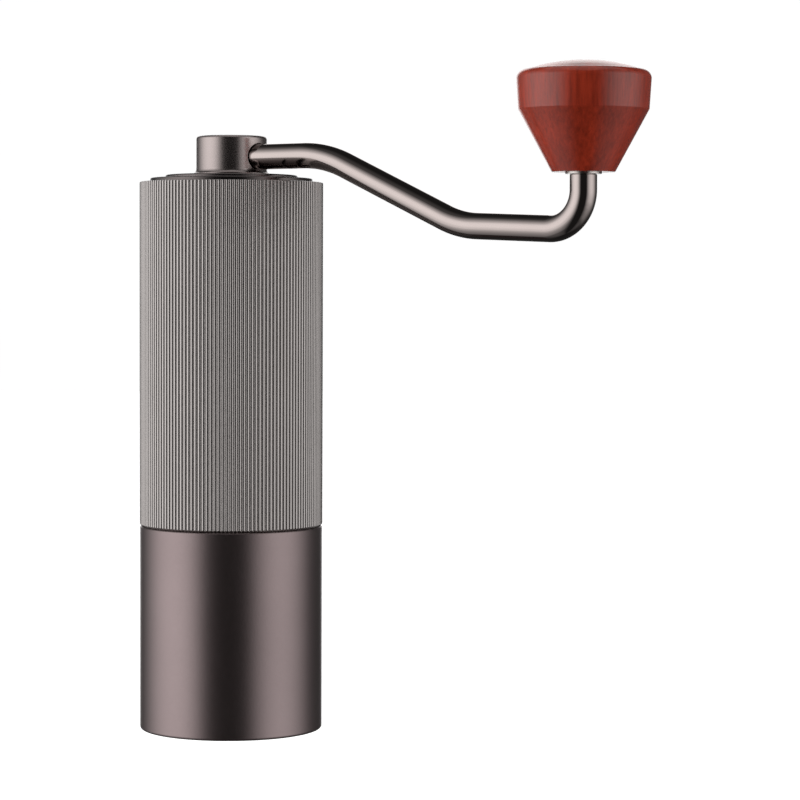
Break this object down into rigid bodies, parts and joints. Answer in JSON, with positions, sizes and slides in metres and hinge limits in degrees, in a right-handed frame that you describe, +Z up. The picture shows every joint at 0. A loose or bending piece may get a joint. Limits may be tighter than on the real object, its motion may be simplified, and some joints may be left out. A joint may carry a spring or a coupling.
{
  "type": "hand coffee grinder",
  "caption": "Slim hand crank coffee grinder: fluted metal body, smooth screw-on catch cup, lift-off lid, bent crank rod with a turned wooden knob, conical burr set inside.",
  "frame": {"origin": "centre of the cup's flat base, on the surface it stands on", "axes": "+Z up along the shaft, +X from the shaft towards the knob, +Y to the left of the crank"},
  "size_m": [0.1623, 0.052, 0.1851],
  "materials": {
    "body_aluminium": "blasted and anodised warm gunmetal",
    "cup_aluminium": "blasted and anodised warm gunmetal",
    "bracket_aluminium": "machined and clear anodised",
    "dial_steel": "turned and blackened",
    "rod_steel": "polished, plated dark gunmetal",
    "sleeve_steel": "turned",
    "shaft_steel": "ground",
    "burr_steel": "hardened and ground",
    "bearing_steel": "polished",
    "fastener_steel": "zinc plated",
    "spring_steel": "drawn wire",
    "cage_brass": "pressed",
    "bush_plastic": "turned acetal",
    "seal_rubber": "moulded",
    "knob_wood": "red stain under satin lacquer"
  },
  "bodies": {
    "root": {"grip_body": "body_aluminium", "top_bracket": "bracket_aluminium", "top_bearing_outer": "bearing_steel", "bottom_bracket": "bracket_aluminium", "bottom_bearing_outer": "bearing_steel", "burr_carrier": "bracket_aluminium", "outer_burr": "burr_steel", "burr_screws": "fastener_steel", "carrier_ring": "bracket_aluminium"},
    "lid": {"lid": "body_aluminium", "lid_bush": "bush_plastic", "lid_seal": "seal_rubber"},
    "crank": {"crank_hub": "body_aluminium", "crank_arm": "rod_steel", "drive_socket": "burr_steel", "arm_grub_screw": "fastener_steel", "hub_washer": "fastener_steel", "hub_circlip": "fastener_steel", "knob_washer": "fastener_steel", "knob_screw": "fastener_steel"},
    "knob": {"knob": "knob_wood", "knob_sleeve": "sleeve_steel", "knob_cap": "knob_wood"},
    "shaft": {"drive_shaft": "shaft_steel", "top_bearing_inner": "bearing_steel", "bottom_bearing_inner": "bearing_steel", "shaft_circlip": "fastener_steel", "spring_washer": "fastener_steel", "burr_spring": "spring_steel"},
    "top_balls": {"top_bearing_balls": "bearing_steel", "top_bearing_cage": "cage_brass"},
    "bottom_balls": {"bottom_bearing_balls": "bearing_steel", "bottom_bearing_cage": "cage_brass"},
    "burr": {"inner_burr": "burr_steel", "click_washer": "fastener_steel"},
    "dial": {"adjust_dial": "dial_steel", "click_balls": "bearing_steel", "click_springs": "spring_steel"},
    "cup_seal": {"cup_seal": "seal_rubber"},
    "cup": {"catch_cup": "cup_aluminium"}
  },
  "joints": [
    {"name": "lid_lift", "type": "slide", "parent": "root", "child": "lid", "axis": [0, 0, 1], "range_m": [0, 0.06]},
    {"name": "crank_spin", "type": "hinge", "parent": "lid", "child": "crank", "pos_m": [0, 0, 0.1625], "axis": [0, 0, 1], "continuous": true},
    {"name": "knob_spin", "type": "hinge", "parent": "crank", "child": "knob", "pos_m": [0.1188, 0, 0.17], "axis": [0, 0, 1], "continuous": true},
    {"name": "shaft_spin", "type": "hinge", "parent": "root", "child": "shaft", "pos_m": [0, 0, 0.1], "axis": [0, 0, 1], "continuous": true},
    {"name": "top_balls_spin", "type": "hinge", "parent": "root", "child": "top_balls", "pos_m": [0, 0, 0.1415], "axis": [0, 0, 1], "continuous": true},
    {"name": "bottom_balls_spin", "type": "hinge", "parent": "root", "child": "bottom_balls", "pos_m": [0, 0, 0.0825], "axis": [0, 0, 1], "continuous": true},
    {"name": "burr_shift", "type": "slide", "parent": "shaft", "child": "burr", "axis": [0, 0, -1], "range_m": [-0.00102, 0.00202], "deforming": ["burr_spring"]},
    {"name": "dial_turn", "type": "hinge", "parent": "burr", "child": "dial", "pos_m": [0, 0, 0.043], "axis": [0, 0, -1], "range_deg": [-360, 720]},
    {"name": "cup_travel", "type": "slide", "parent": "root", "child": "cup_seal", "axis": [0, 0, -1], "range_m": [0, 0.02401]},
    {"name": "cup_turn", "type": "hinge", "parent": "cup_seal", "child": "cup", "pos_m": [0, 0, 0.03], "axis": [0, 0, -1], "range_deg": [0, 2160]}
  ],
  "couplings": [
    {"joint": "shaft_spin", "follows": "crank_spin", "ratio": 1},
    {"joint": "top_balls_spin", "follows": "crank_spin", "ratio": 0.41667},
    {"joint": "bottom_balls_spin", "follows": "crank_spin", "ratio": 0.41667},
    {"joint": "burr_shift", "follows": "dial_turn", "m_per_rad": 0.00015915},
    {"joint": "cup_travel", "follows": "cup_turn", "m_per_rad": 0.00063662}
  ]
}
